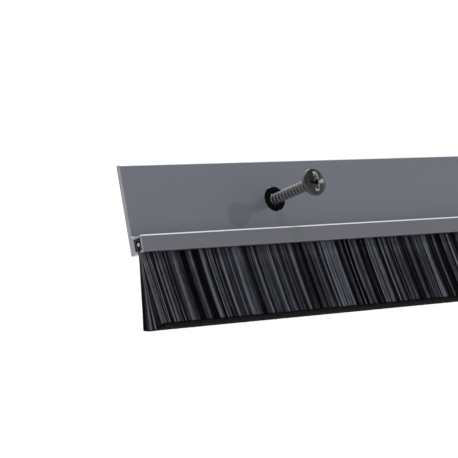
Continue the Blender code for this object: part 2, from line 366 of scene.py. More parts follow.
def noise(tree, scale, detail=3.0):
    """Noise with its own number of features per metre along each axis."""
    place = stretched(tree, scale)
    values = {"Scale": 1.0, "Detail": detail, "Roughness": NOISE_ROUGHNESS}
    return add_node(tree, "ShaderNodeTexNoise", Vector=place, **values).outputs["Fac"]


def ramp(tree, factor, *stops):
    """Colour ramp from (position, colour) stops."""
    made = add_node(tree, "ShaderNodeValToRGB", Fac=factor)
    elements = made.color_ramp.elements
    while len(elements) < len(stops):
        elements.new(0.5)
    for element, (position, colour) in zip(elements, stops):
        element.position = position
        element.color = (*colour, 1)
    return made.outputs["Color"]


def between(tree, texture, dark, light):
    """Colour that follows a noise from a dark tone to a light one."""
    return ramp(tree, texture, (NOISE_LOW, dark), (NOISE_HIGH, light))


def span(tree, value, from_low, from_high, to_low, to_high):
    made = add_node(tree, "ShaderNodeMapRange", i0=value, i1=from_low, i2=from_high, i3=to_low, i4=to_high)
    return made.outputs[0]


def spread(tree, texture, low, high):
    """Value that follows a noise from low to high."""
    return span(tree, texture, NOISE_LOW, NOISE_HIGH, low, high)


def maths(tree, operation, a, b):
    return add_node(tree, "ShaderNodeMath", {"operation": operation}, i0=a, i1=b).outputs[0]


def size_of(tree, value):
    return add_node(tree, "ShaderNodeMath", {"operation": "ABSOLUTE"}, i0=value).outputs[0]


def mix(tree, factor, a, b):
    made = tree.nodes.new("ShaderNodeMix")
    made.data_type = "RGBA"
    for index, value in ((0, factor), (6, a), (7, b)):
        if isinstance(value, bpy.types.NodeSocket):
            tree.links.new(value, made.inputs[index])
        else:
            made.inputs[index].default_value = value
    return made.outputs[2]


def bump(tree, height, distance):
    made = add_node(tree, "ShaderNodeBump", Height=height, Distance=distance, Strength=1.0)
    return made.outputs["Normal"]


def set_shader(shader, tree, **values):
    """Inputs of the surface, named as on the node but with underscores."""
    for key, value in values.items():
        socket = shader.inputs[key.replace("_", " ")]
        if isinstance(value, bpy.types.NodeSocket):
            tree.links.new(value, socket)
        else:
            socket.default_value = value


def parts_of(tree, kind):
    """The three parts of the object coordinates or of the way a face looks."""
    coords = add_node(tree, "ShaderNodeTexCoord")
    return add_node(tree, "ShaderNodeSeparateXYZ", i0=coords.outputs[kind]).outputs


def facing(tree, axis):
    """How far a face looks along one axis, whichever way, from 0 to 1."""
    return size_of(tree, parts_of(tree, "Normal")[axis])


def cut_end(tree):
    """Mask of the faces at the two ends of the strip."""
    return span(tree, facing(tree, AXIS_X), END_LOW, END_HIGH, 0.0, 1.0)


def painted_edge_highlight(tree):
    """Mask of the painted highlight: the long rounded edges that look up and forward, away from the line of
    holes.
    """
    up = maths(tree, "MAXIMUM", parts_of(tree, "Normal")[AXIS_Z], 0.0)
    slant = maths(tree, "MULTIPLY", up, facing(tree, AXIS_Y))
    rounded = span(tree, slant, HIGHLIGHT_SLANT_LOW, HIGHLIGHT_SLANT_HIGH, 0.0, 1.0)
    height = size_of(tree, parts_of(tree, "Object")[AXIS_Z])
    return maths(tree, "MULTIPLY", rounded, span(tree, height, HIGHLIGHT_FROM, HIGHLIGHT_FULL, 0.0, 1.0))


def below_ledge(tree):
    """Mask of the lip, which takes a greyer tone than the flange."""
    place = parts_of(tree, "Object")
    ledge = CARRIER_LOW.z + LIP_H
    low = span(tree, place[AXIS_Z], ledge - LIP_BLEND, ledge, 1.0, 0.0)
    ahead = span(tree, place[AXIS_Y], -FLANGE_T - LIP_BLEND_AHEAD, -FLANGE_T - LIP_BLEND, 1.0, 0.0)
    return maths(tree, "MULTIPLY", low, ahead)


def aluminium_material():
    """Satin anodised extrusion: faint die lines along X, a painted highlight along the upper edges, bare
    where cut.
    """
    made, tree, shader = new_material("satin_anodised_aluminium")
    lines = noise(tree, (2.5, 1500, 1500), detail=2)
    cloud = noise(tree, (9, 30, 30), detail=2)
    saw = noise(tree, (40, 3500, 90), detail=3)
    skin = between(tree, lines, SKIN_DARK, SKIN_LIGHT)
    # Lighter clouds, partly uneven tone and partly painted reflection
    skin = mix(tree, spread(tree, cloud, 0.0, CLOUD_AND_SHEEN_SHARE), skin, CLOUD_AND_SHEEN_COLOUR)
    skin = mix(tree, maths(tree, "MULTIPLY", below_ledge(tree), LIP_SHARE), skin, LIP_COLOUR)
    # Painted highlight along the long edges that look up and forward
    edge = painted_edge_highlight(tree)
    skin = mix(tree, maths(tree, "MULTIPLY", edge, PAINTED_HIGHLIGHT_SHARE), skin, PAINTED_HIGHLIGHT_COLOUR)
    bare = ramp(tree, saw, (STARK_LOW, SAWN_DARK), (STARK_HIGH, SAWN_LIGHT))
    cut = cut_end(tree)
    metal = span(tree, edge, 0.0, 1.0, SKIN_METAL, PAINTED_HIGHLIGHT_METAL)
    height = maths(tree, "ADD", lines, maths(tree, "MULTIPLY", saw, cut))
    set_shader(shader, tree, Base_Color=mix(tree, cut, skin, bare), Metallic=metal)
    set_shader(shader, tree, Roughness=spread(tree, lines, *SKIN_ROUGH))
    set_shader(shader, tree, Coat_Weight=0.5, Coat_Roughness=0.04, Coat_IOR=1.5)
    set_shader(shader, tree, Normal=bump(tree, height, SKIN_RELIEF))
    return made


def galvanised_material():
    """Zinc-coated strip with a faint spangle, and near-black painted shade on its cut ends."""
    made, tree, shader = new_material("galvanised_steel")
    cells = add_node(tree, "ShaderNodeTexVoronoi", Vector=stretched(tree, (300, 600, 600)))
    grain = noise(tree, (60, 2500, 2500))
    tones = (SPANGLE_LOW, ZINC_DARK), (SPANGLE_HIGH, ZINC_LIGHT)
    colour = ramp(tree, cells.outputs["Color"], *tones)
    colour = mix(tree, cut_end(tree), colour, PAINTED_SHADE_END_COLOUR)
    set_shader(shader, tree, Base_Color=colour, Metallic=1.0, Roughness=spread(tree, grain, *ZINC_ROUGH))
    set_shader(shader, tree, Normal=bump(tree, grain, FINE_RELIEF))
    return made


def filament_material():
    """Black drawn filament whose tone differs from strand to strand, in clumps; its lighter tones are
    painted sheen.
    """
    made, tree, shader = new_material("black_filament")
    tone = add_node(tree, "ShaderNodeAttribute", {"attribute_name": "tone"}).outputs["Fac"]
    along = noise(tree, (900, 900, 60), detail=2)
    shifted = maths(tree, "ADD", tone, spread(tree, along, -FILAMENT_MOTTLE, FILAMENT_MOTTLE))
    rough = span(tree, shifted, 0.0, 1.0, *FILAMENT_ROUGH)
    set_shader(shader, tree, Base_Color=ramp(tree, shifted, *FILAMENT_TONES_AND_SHEEN), Roughness=rough)
    set_shader(shader, tree, Specular_IOR_Level=FILAMENT_SPECULAR)
    return made


def screw_material():
    """Dark zinc finish on the head."""
    made, tree, shader = new_material("dark_screw_steel")
    spots = noise(tree, (900, 900, 900), detail=5)
    fine = noise(tree, (4000, 4000, 4000), detail=2)
    colour = between(tree, spots, HEAD_DARK, HEAD_LIGHT)
    set_shader(shader, tree, Base_Color=colour, Metallic=1.0, Roughness=spread(tree, spots, *HEAD_ROUGH))
    set_shader(shader, tree, Normal=bump(tree, fine, FINE_RELIEF))
    return made


def grained_material(name, scale, tones, rough, relief, detail=3, **values):
    """Material whose tone, roughness and relief all follow one fine noise."""
    made, tree, shader = new_material(name)
    grain = noise(tree, scale, detail)
    set_shader(shader, tree, Base_Color=ramp(tree, grain, *tones), Roughness=spread(tree, grain, *rough))
    set_shader(shader, tree, Normal=bump(tree, grain, relief), **values)
    return made


def wire_material():
    tones = (NOISE_LOW, (0.26, 0.262, 0.27)), (NOISE_HIGH, (0.38, 0.385, 0.39))
    return grained_material(
        "drawn_wire", scale=(8, 6000, 6000), tones=tones, rough=(0.2, 0.34), relief=0.004 * MM, Metallic=1.0,
    )


def thread_material():
    """The dark finish on the rolled thread and the head's rim, duller and rubbed lighter."""
    tones = (NOISE_LOW, (0.048, 0.048, 0.050)), (NOISE_HIGH, (0.085, 0.085, 0.088))
    return grained_material(
        "rolled_thread_steel", scale=(1500, 700, 1500), tones=tones, rough=(0.46, 0.54), relief=FINE_RELIEF,
        detail=4, Metallic=1.0,
    )


def recess_material():
    """Bare steel where the driver has bitten through the finish."""
    tones = (NOISE_LOW, (0.16, 0.16, 0.165)), (NOISE_HIGH, (0.34, 0.34, 0.35))
    return grained_material(
        "bare_recess_steel", scale=(5000, 1500, 1500), tones=tones, rough=(0.28, 0.42), relief=FINE_RELIEF,
        Metallic=1.0,
    )


def bush_material():
    # Black nylon made near black, so that it also paints the shade inside the screw hole
    tones = (NOISE_LOW, (0.0007, 0.0008, 0.0010)), (NOISE_HIGH, (0.0016, 0.0017, 0.0020))
    return grained_material(
        "matt_black_nylon_and_hole_shade", scale=(2200, 2200, 2200), tones=tones, rough=(0.65, 0.85), relief=0.01 * MM,
        Specular_IOR_Level=PLASTIC_SPECULAR,
    )


def core_material():
    """Near-black inside of the pile, a dark body that paints the shade between the deeper filaments."""
    tones = (STARK_LOW, (0.0004, 0.0004, 0.0006)), (STARK_HIGH, (0.0016, 0.0016, 0.0022))
    return grained_material(
        "pile_shadow", scale=(2500, 2500, 40), tones=tones, rough=(0.8, 0.95), relief=0.15 * MM,
        Specular_IOR_Level=FILAMENT_SPECULAR,
    )


def root_material():
    """Packed filaments inside the channel."""
    tones = (STARK_LOW, (0.001, 0.001, 0.0015)), (STARK_HIGH, (0.005, 0.005, 0.007))
    return grained_material(
        "root_filament", scale=(3000, 500, 500), tones=tones, rough=(0.5, 0.75), relief=0.08 * MM,
        Specular_IOR_Level=PLASTIC_SPECULAR,
    )


# ---------------------------------------------------------------- rigid pieces

def brush_middle():
    """Y of the plane half way between the front and back of the brush's channel."""
    return (HOLDER_LOW.y + HOLDER_HIGH.y) / 2


def carrier_corners():
    """Section of the extrusion as (y, z, radius), from its top back edge forward and round the pocket."""
    top, bottom = CARRIER_HIGH.z, CARRIER_LOW.z
    front = CARRIER_LOW.y
    ledge = bottom + LIP_H
    middle = brush_middle()
    floor_z = bottom + FOOT_H
    roof = ledge - WEB_T
    pocket_front = front + LIP_T
    pocket_back = pocket_front + POCKET_W
    foot_front = middle - MOUTH_W / 2
    foot_back = middle + MOUTH_W / 2
    return [
        (CARRIER_HIGH.y, top, BACK_EDGE_R),
        (-FLANGE_T, top, FRONT_EDGE_R),
        (-FLANGE_T, ledge, LEDGE_FILLET_R),
        (front, ledge, FRONT_EDGE_R),
        (front, bottom, FOOT_R),
        (foot_front, bottom, FOOT_R),
        (foot_front, floor_z, FOOT_R),
        (pocket_front, floor_z, INNER_EDGE_R),
        (pocket_front, roof, INNER_EDGE_R),
        (pocket_back, roof, INNER_EDGE_R),
        (pocket_back, floor_z, INNER_EDGE_R),
        (foot_back, floor_z, FOOT_R),
        (foot_back, bottom, FOOT_R),
        (CARRIER_HIGH.y, bottom, BACK_EDGE_R),
    ]


def make_carrier():
    points = outline(carrier_corners())
    solid = bar_mesh("carrier_profile", points, CARRIER_LOW.x, CARRIER_HIGH.x, END_EDGE)
    cutters = [hole_cutter(f"screw_bush_{n}") for n in range(1, len(SCREWS) + 1)]
    mesh = subtract(solid, *cutters)
    shade(mesh)
    finish = aluminium_material()
    piece = dress("carrier_profile", mesh, finish, "carrier_body", "carrier")
    keep_flats_flat(piece)


def hole_cutter(bush):
    """Cutter for one screw hole that breaks the hole's edges on both faces."""
    low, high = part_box(bush)
    middle = (low + high) / 2
    half = FLANGE_T / 2
    wide = HOLE_R + 2 * HOLE_EDGE
    points = [(0, half + HOLE_EDGE), (wide, half + HOLE_EDGE), (HOLE_R, half - HOLE_EDGE)]
    points += [(r, -z) for r, z in reversed(points)]
    mesh = turned_mesh("hole_cutter", points, HOLE_STEPS)
    mesh.transform(Matrix.Translation((middle.x, -half, middle.z)) @ TO_FRONT)
    return mesh


def holder_corners():
    """Section of the folded channel, whose two legs are crimped in on the filaments."""
    middle = brush_middle()
    half = HOLDER_HIGH.y - middle
    top, foot = HOLDER_HIGH.z, HOLDER_LOW.z
    mouth = HOLDER_MOUTH_W / 2
    crimp = foot + HOLDER_CRIMP_H
    inner = HOLDER_EDGE_R - HOLDER_T
    sides = [
        (half, top, HOLDER_EDGE_R),
        (-half, top, HOLDER_EDGE_R),
        (-half, crimp, HOLDER_FOLD_R),
        (-mouth - HOLDER_T, foot, HOLDER_FOLD_R),
        (-mouth, foot, HOLDER_FOLD_R),
        (-half + HOLDER_T, crimp, HOLDER_FOLD_R),
        (-half + HOLDER_T, top - HOLDER_T, inner),
        (half - HOLDER_T, top - HOLDER_T, inner),
        (half - HOLDER_T, crimp, HOLDER_FOLD_R),
        (mouth, foot, HOLDER_FOLD_R),
        (mouth + HOLDER_T, foot, HOLDER_FOLD_R),
        (half, crimp, HOLDER_FOLD_R),
    ]
    return [(middle + y, z, radius) for y, z, radius in sides]


def make_holder():
    points = outline(holder_corners())
    mesh = bar_mesh("brush_channel", points, HOLDER_LOW.x, HOLDER_HIGH.x, HOLDER_END_EDGE)
    shade(mesh)
    finish = galvanised_material()
    piece = dress("brush_channel", mesh, finish, "brush_insert", "brush_holder")
    keep_flats_flat(piece)


def circle(y, z, radius, steps):
    angles = [math.tau * i / steps for i in range(steps)]
    return [(y + radius * math.cos(a), z + radius * math.sin(a)) for a in angles]


def make_wire():
    y = (WIRE_LOW.y + WIRE_HIGH.y) / 2
    z = (WIRE_LOW.z + WIRE_HIGH.z) / 2
    mesh = bar_mesh("wire", circle(y, z, WIRE_R, WIRE_STEPS), WIRE_LOW.x, WIRE_HIGH.x, WIRE_EDGE)
    shade(mesh)
    piece = dress("wire", mesh, wire_material(), "brush_insert", "core_wire")
    keep_flats_flat(piece)


def make_bushes():
    """Flush black rings with softened edges, one in each hole of the flange; their near-black colour also
    paints the shade inside the hole.
    """
    finish = bush_material()
    low, high = -FLANGE_T / 2 + BUSH_INSET, FLANGE_T / 2 - BUSH_INSET
    edge = BUSH_EDGE
    corner = edge * ROUNDING
    ring = [
        (BUSH_R, low + edge), (BUSH_R, high - edge), (BUSH_R - corner, high - corner),
        (BUSH_R - edge, high), (BORE_R + edge, high), (BORE_R + corner, high - corner),
        (BORE_R, high - edge), (BORE_R, low + edge), (BORE_R + edge, low), (BUSH_R - edge, low),
    ]
    for number in range(1, len(SCREWS) + 1):
        node = f"screw_bush_{number}"
        low_corner, high_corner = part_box(node)
        mesh = turned_mesh(f"bush_{number}", ring, HOLE_STEPS, closed=True)
        middle = (low_corner + high_corner) / 2
        mesh.transform(Matrix.Translation(middle) @ TO_FRONT)
        shade(mesh, sharp=ROUND_SHARP)
        dress(f"bush_{number}", mesh, finish, "carrier_body", node)


# ---------------------------------------------------------------- screws

HEAD_R = 4.7 * MM
HEAD_SEAT_R = 4.45 * MM
HEAD_H = 2.4 * MM
HEAD_STEPS = 14
HEAD_SHARP = 34
SHOULDER_R = 0.35 * MM
SHOULDER_STEPS = 6
WORN_RIM_R = 4.4 * MM
SEAT_EDGE = 0.12 * MM
RIM_LOW = 0.25 * MM
RIM_HIGH = 0.95 * MM
RECESS_SPAN = 6.8 * MM
RECESS_ARM = 1.5 * MM
RECESS_DEPTH = 1.8 * MM
RECESS_RIM_DROP = 0.75 * MM
RECESS_STAGGER = 0.085 * MM
RECESS_TAPER = 0.62
RECESS_EDGE = 0.07 * MM
BLADE_RISE = 0.6 * MM
CORE_R = 1.35 * MM
CORE_TIP_R = 0.35 * MM
CORE_DEPTH = 2.05 * MM
CORE_FLARE = 1.3
SHANK_LENGTH = 25.0 * MM
THREAD_R = 1.95 * MM
THREAD_ROOT_R = 1.50 * MM
THREAD_PITCH = 1.8 * MM
THREAD_COLUMNS = 40
THREAD_ROWS = 14
THREAD_START = 0.5 * THREAD_PITCH
SPARE_TURNS = 2
TOOTH_HALF = 0.30
NECK_LENGTH = 0.5 * MM
HEAD_OVERLAP = 0.4 * MM
FADE_IN_FROM, FADE_IN_LENGTH = 0.6 * MM, 1.2 * MM
FADE_OUT_LENGTH = 0.8 * MM
TIP_TAPER = 0.15 * MM
CLOSING_LENGTH = 0.9 * THREAD_PITCH
CLOSING_SHARE = 0.02
MERGE_DISTANCE = 1e-6
HEAD_FINISH, RECESS_FINISH, THREAD_FINISH = range(3)


def head_points():
    """Outer line of the head from the middle of its dome to the middle of its seat."""
    rise = HEAD_H - RIM_HIGH
    radius = (HEAD_R**2 + rise**2) / (2 * rise)
    start_r = HEAD_R - SHOULDER_R * (1 - HEAD_R / radius)
    start = math.asin(start_r / radius)
    points = []
    for step in range(HEAD_STEPS + 1):
        angle = start * step / HEAD_STEPS
        points.append((radius * math.sin(angle), HEAD_H - radius * (1 - math.cos(angle))))
    middle_r = start_r - SHOULDER_R * math.sin(start)
    middle_z = points[-1][1] - SHOULDER_R * math.cos(start)
    reach = HEAD_R - middle_r
    for step in range(1, SHOULDER_STEPS + 1):
        angle = start + (math.pi / 2 - start) * step / SHOULDER_STEPS
        points.append((middle_r + reach * math.sin(angle), middle_z + SHOULDER_R * math.cos(angle)))
    points += [(HEAD_R, RIM_LOW + SEAT_EDGE), (HEAD_R - ROUNDING * SEAT_EDGE, RIM_LOW)]
    return points + [(HEAD_SEAT_R, 0), (0, 0)]


def recess_blade(angle, depth):
    """Bar that narrows with depth and cuts one slot of the cross recess."""
    edit = bmesh.new()
    bmesh.ops.create_cube(edit, size=1)
    slope = (1 - RECESS_TAPER) / (depth - RECESS_RIM_DROP)
    for vertex in edit.verts:
        height = BLADE_RISE if vertex.co.z > 0 else -depth
        wide = 1 + slope * (height + RECESS_RIM_DROP)
        vertex.co.x *= RECESS_SPAN * wide
        vertex.co.y *= RECESS_ARM * wide
        vertex.co.z = height
    bmesh.ops.transform(edit, verts=edit.verts, matrix=Matrix.Rotation(math.radians(angle), 4, "Z"))
    bmesh.ops.translate(edit, verts=edit.verts, vec=(0, 0, HEAD_H))
    return finished_mesh("recess_blade", edit)


def recess_core():
    """Cone that widens the crossing of the two slots and leads the driver's tip in."""
    top, low = HEAD_H + BLADE_RISE, HEAD_H - CORE_DEPTH
    points = [(0, top), (CORE_R * CORE_FLARE, top), (CORE_TIP_R, low), (0, low)]
    return turned_mesh("recess_core", points, CORE_STEPS)


def thread_mesh():
    """Shank with a coarse thread that fades out under the head and at the blunt tip."""
    columns, rows_per_turn = THREAD_COLUMNS, THREAD_ROWS
    rows = int((SHANK_LENGTH / THREAD_PITCH + SPARE_TURNS) * rows_per_turn)
    edit = bmesh.new()
    grid = []
    for row in range(rows + 1):
        ring = []
        for column in range(columns + 1):
            along = THREAD_PITCH * (row / rows_per_turn + column / columns - 1) - THREAD_START
            ring.append(thread_point(edit, along, row / rows_per_turn % 1, column / columns))
        grid.append(ring)
    for upper, lower in zip(grid, grid[1:]):
        for column in range(columns):
            edit.faces.new((upper[column], upper[column + 1], lower[column + 1], lower[column]))
    bmesh.ops.remove_doubles(edit, verts=edit.verts, dist=MERGE_DISTANCE)
    bmesh.ops.holes_fill(edit, edges=edit.edges, sides=0)
    bmesh.ops.recalc_face_normals(edit, faces=edit.faces)
    return finished_mesh("thread", edit)


def closing(beyond):
    """Share of the radius left where the grid draws in beyond an end of the shank."""
    return max(CLOSING_SHARE, 1 - beyond / CLOSING_LENGTH)


def thread_point(edit, along, phase, turn):
    """One point of the thread: how far down the shank, where on the tooth, and which way round."""
    crest = max(0.0, 1 - abs(phase - 0.5) / TOOTH_HALF)
    tooth = crest * crest * (3 - 2 * crest)
    depth = min(max(along, -HEAD_OVERLAP), SHANK_LENGTH)
    fade_in = min(max((depth - FADE_IN_FROM) / FADE_IN_LENGTH, 0), 1)
    fade_out = min((SHANK_LENGTH - depth) / FADE_OUT_LENGTH, 1)
    core = THREAD_ROOT_R - TIP_TAPER * (1 - fade_out) ** 2
    radius = core + (THREAD_R - THREAD_ROOT_R) * tooth * fade_in * fade_out
    radius = min(radius, core) if depth <= NECK_LENGTH else radius
    if along > SHANK_LENGTH:
        radius *= closing(along - SHANK_LENGTH)
    if along < -HEAD_OVERLAP:
        radius *= closing(-HEAD_OVERLAP - along)
    angle = math.tau * turn
    return edit.verts.new((radius * math.cos(angle), radius * math.sin(angle), -depth))


def paint(mesh, finishes, index):
    """The mesh takes all the finishes and shows one of them on every face."""
    for finish in finishes:
        mesh.materials.append(finish)
    mesh.polygons.foreach_set("material_index", [index] * len(mesh.polygons))


def screw_solids(finishes):
    """Head and shank about Z, each face with the number of its finish."""
    head = turned_mesh("head", head_points(), HEAD_TURN_STEPS)
    cutters = recess_blade(0, RECESS_DEPTH), recess_blade(90, RECESS_DEPTH + RECESS_STAGGER), recess_core()
    shank = thread_mesh()
    paint(head, finishes, HEAD_FINISH)
    paint(shank, finishes, THREAD_FINISH)
    for cutter in cutters:
        paint(cutter, finishes, RECESS_FINISH)
    for face in head.polygons:
        if face.center.xy.length > WORN_RIM_R:
            face.material_index = THREAD_FINISH
    head = subtract(head, *cutters, bevel=RECESS_EDGE)
    shade(head, sharp=HEAD_SHARP)
    shade(shank, sharp=ROUND_SHARP)
    return head, shank


def joined_mesh(name, meshes):
    edit = bmesh.new()
    for mesh in meshes:
        edit.from_mesh(mesh)
    return finished_mesh(name, edit)


def make_screws():
    finishes = screw_material(), recess_material(), thread_material()
    solids = screw_solids(finishes)
    for name in SCREWS:
        low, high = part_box(name)
        seat = Vector(((low.x + high.x) / 2, high.y - SHANK_LENGTH, (low.z + high.z) / 2))
        mesh = joined_mesh(f"{name}_detailed", solids)
        mesh.transform(Matrix.Translation(seat) @ TO_FRONT)
        # dress() clears the materials and with them the faces' numbers, which are put back after it
        indices = [face.material_index for face in mesh.polygons]
        dress(f"{name}_detailed", mesh, finishes[HEAD_FINISH], f"{name}_body", name)
        for finish in finishes[1:]:
            mesh.materials.append(finish)
        mesh.polygons.foreach_set("material_index", indices)


# ---------------------------------------------------------------- filaments

FILAMENT_R = 0.20 * MM
FILAMENT_SIDES = 3
FILAMENTS = 26000
END_FILAMENTS = 900
STRETCHES = 8
SEED = 7
GOLDEN_ANGLE = 2.39996
FILAMENT_TOP_Z = CARRIER_LOW.z + 0.75 * MM
MOUTH_HALF = 0.72 * MM
TIP_HALF = 6.5 * MM
TIP_INSET = 0.32 * MM
TIP_DROP = 1.1 * MM
FAN_LEAN = 0.6 * MM
FAN_CURVE = 1.1

# Shares of the way down where filaments and core both have points
BEND_STATIONS = 0.12, 0.29, 0.46, 0.63, 0.80
MOUTH_STATION = 0.02
TIP_STATION = 0.985

# Where the filaments stand: inside the pile, on its two faces and over its ends
INNER_SHARE = 0.30
INNER_LEAN = 0.85
FACE_SPREAD = 0.03
BACK_SHARE, FRONT_SHARE = 0.45, 0.55
END_BAND = 1.2 * MM
END_TONE_BAND = 1.3 * MM

# Tone: clumps of three widths and their weights, ends, middle tone, contrast and strand-to-strand spread
CLUMPS = (0.42 * MM, 0.65), (0.95 * MM, 0.45), (7 * MM, 0.18)
END_CLUMP, END_CLUMP_WEIGHT, END_SHADE = 0.11, 0.9, 0.22
MIDDLE_TONE, TONE_CONTRAST, TONE_SPREAD = 0.47, 0.80, 0.07
# Painted light: the first stations of each filament, just under the lip, are made lighter
ROOT_STATIONS = 3
ROOT_PAINTED_LIGHT_GAIN, ROOT_PAINTED_LIGHT_LIFT = 1.15, 0.04

# How each filament strays: tips pulled together, tips apart, bow, uneven trim and thickness
PULL_CELL, PULL = 1.4 * MM, 0.25 * MM
TIP_STRAY = 0.10 * MM
BOW = 0.12 * MM
TRIM = 0.03 * MM
THINNEST = 0.82

# Core of the pile
CORE_SIDE = 0.92
CORE_TOP, CORE_LOW = -0.008, 0.998
CORE_BOTTOM_STEPS = 13
CORE_END_INSET = 0.9 * MM
CORE_END_EDGE = 0.05 * MM


def smooth_noise(rng, x, cell):
    """Seeded noise along the strip, from -1 to 1, with one random value per cell."""
    count = int((x.max() - x.min()) / cell) + 3
    values = rng.uniform(-1, 1, count)
    at = (x - x.min()) / cell
    index = at.astype(int)
    part = at - index
    part = part * part * (3 - 2 * part)
    return values[index] * (1 - part) + values[index + 1] * part


def fan_point(lean, down):
    """Y and Z at a share of the way down, for a lean from -1 at the front to 1 at the back."""
    radius = (TIP_HALF**2 + TIP_DROP**2) / (2 * TIP_DROP)
    drop = np.sqrt(radius**2 - (lean * TIP_HALF) ** 2) - radius + TIP_DROP
    tip_y = brush_middle() - FAN_LEAN + lean * (TIP_HALF - TIP_INSET)
    tip_z = BRISTLES_LOW.z + TIP_DROP - drop
    mouth_y = brush_middle() + lean * MOUTH_HALF
    mouth_z = CARRIER_LOW.z
    y = mouth_y + (tip_y - mouth_y) * max(down, 0.0) ** FAN_CURVE
    return y, mouth_z + (tip_z - mouth_z) * down


def filament_places(rng, edge):
    """Place along the strip and lean of each filament, in order along the strip."""
    inner = int(FILAMENTS * INNER_SHARE)
    outer = FILAMENTS - inner
    x = np.concatenate([
        rng.uniform(-edge, edge, inner),
        rng.uniform(-edge, edge, outer),
        (edge - rng.uniform(0, END_BAND, END_FILAMENTS)) * rng.choice([-1, 1], END_FILAMENTS),
    ])
    side = rng.choice([-1, 1], outer, p=[BACK_SHARE, FRONT_SHARE])
    lean = np.concatenate([
        rng.uniform(-INNER_LEAN, INNER_LEAN, inner),
        -side * (1 - np.abs(rng.normal(0, FACE_SPREAD, outer))),
        rng.uniform(-1, 1, END_FILAMENTS),
    ])
    order = np.argsort(x, kind="stable")
    return x[order], lean[order]


def filament_tones(rng, x, lean, edge):
    """Tone of each filament, in clumps along the strip and from front to back over its ends."""
    narrow, middle, wide = (smooth_noise(rng, x, cell) * weight for cell, weight in CLUMPS)
    at_end = np.abs(x) > edge - END_TONE_BAND
    over_ends = smooth_noise(rng, lean, END_CLUMP) * END_CLUMP_WEIGHT - END_SHADE
    clump = np.where(at_end, over_ends, narrow + middle + wide)
    return np.clip(MIDDLE_TONE + TONE_CONTRAST * clump + rng.normal(0, TONE_SPREAD, len(x)), 0, 1)


def filament_plan(rng):
    """Place, lean, tone and small irregularities of each filament."""
    edge = BRISTLES_HIGH.x - FILAMENT_R
    x, lean = filament_places(rng, edge)
    tone = filament_tones(rng, x, lean, edge)
    pull = smooth_noise(rng, x, PULL_CELL) * PULL
    tip_x = x + pull + rng.normal(0, TIP_STRAY, len(x))
    return {
        "root_x": x,
        "tip_x": np.clip(tip_x, -edge, edge),
        "lean": lean,
        "bow": rng.normal(0, BOW, (len(x), 2)),
        "trim": np.abs(rng.normal(0, TRIM, len(x))),
        "tone": tone,
        "radius": FILAMENT_R * rng.uniform(THINNEST, 1.0, len(x)),
    }


def filament_paths(plan):
    """Points along each filament, as an array of filaments by stations by three."""
    above = (FILAMENT_TOP_Z - CARRIER_LOW.z) / (BRISTLES_LOW.z - CARRIER_LOW.z)
    stations = [above, MOUTH_STATION, *BEND_STATIONS, TIP_STATION, 1.0]
    paths = np.zeros((len(plan["root_x"]), len(stations), 3))
    reach = BRISTLES_HIGH.x - FILAMENT_R
    for index, down in enumerate(stations):
        share = max(down, 0.0)
        arch = 4 * share * (1 - share)
        x = plan["root_x"] + (plan["tip_x"] - plan["root_x"]) * share + plan["bow"][:, 0] * arch
        y, z = fan_point(plan["lean"], down)
        y = y - np.sign(plan["lean"]) * np.abs(plan["bow"][:, 1]) * arch
        paths[:, index] = np.stack([np.clip(x, -reach, reach), y, z + plan["trim"] * share], 1)
    return paths


def tube_points(paths, radius):
    """Corners of thin tubes, as an array of tubes by stations by sides by three."""
    spin = np.arange(len(paths))[:, None] * GOLDEN_ANGLE
    angles = np.arange(FILAMENT_SIDES)[None, :] * (math.tau / FILAMENT_SIDES) + spin
    ring = np.stack([np.cos(angles), np.sin(angles), np.zeros_like(angles)], 2) * radius[:, None, None]
    return paths[:, :, None, :] + ring[:, None, :, :]


def tube_faces(count, length):
    """Corner numbers of the tubes' side faces and of their two ends."""
    sides = FILAMENT_SIDES
    first = (np.arange(count) * length * sides)[:, None] + np.arange(sides)[None, :]
    last = first + (length - 1) * sides
    upper = first[:, None, :1] + (np.arange(length - 1) * sides)[None, :, None]
    lower = upper + sides
    here = np.arange(sides)[None, None, :]
    following = (here + 1) % sides
    quads = np.stack([upper + here, upper + following, lower + following, lower + here], 3)
    return quads[..., ::-1].reshape(-1, 4), np.concatenate([first, last[:, ::-1]])


def tube_tones(tone, length):
    """Tone of each tube's points: painted light near its root, under the lip, and painted shade, black, on
    its cut tip.
    """
    tones = np.repeat(tone[:, None], length, 1)
    tones[:, :ROOT_STATIONS] = np.minimum(tones[:, :ROOT_STATIONS] * ROOT_PAINTED_LIGHT_GAIN + ROOT_PAINTED_LIGHT_LIFT, 1)
    # Painted shade: the cut tips on the underside of the pile are black
    tones[:, -1] = 0
    return np.repeat(tones.reshape(-1), FILAMENT_SIDES).astype(np.float32)


def tubes_mesh(name, paths, radius, tone):
    """One mesh of closed thin tubes, each with its points, radius and tone."""
    count, length, _ = paths.shape
    quads, caps = tube_faces(count, length)
    mesh = bpy.data.meshes.new(name)
    mesh.vertices.add(count * length * FILAMENT_SIDES)
    mesh.vertices.foreach_set("co", tube_points(paths, radius).reshape(-1).astype(np.float32))
    loops = np.concatenate([quads.reshape(-1), caps.reshape(-1)]).astype(np.int32)
    mesh.loops.add(len(loops))
    mesh.loops.foreach_set("vertex_index", loops)
    sizes = np.concatenate([np.full(len(faces), faces.shape[1]) for faces in (quads, caps)])
    starts = np.concatenate([[0], np.cumsum(sizes)[:-1]]).astype(np.int32)
    mesh.polygons.add(len(sizes))
    mesh.polygons.foreach_set("loop_start", starts)
    mesh.update(calc_edges=True)
    values = mesh.attributes.new("tone", "FLOAT", "POINT")
    values.data.foreach_set("value", tube_tones(tone, length))
    mesh.shade_smooth()
    return mesh


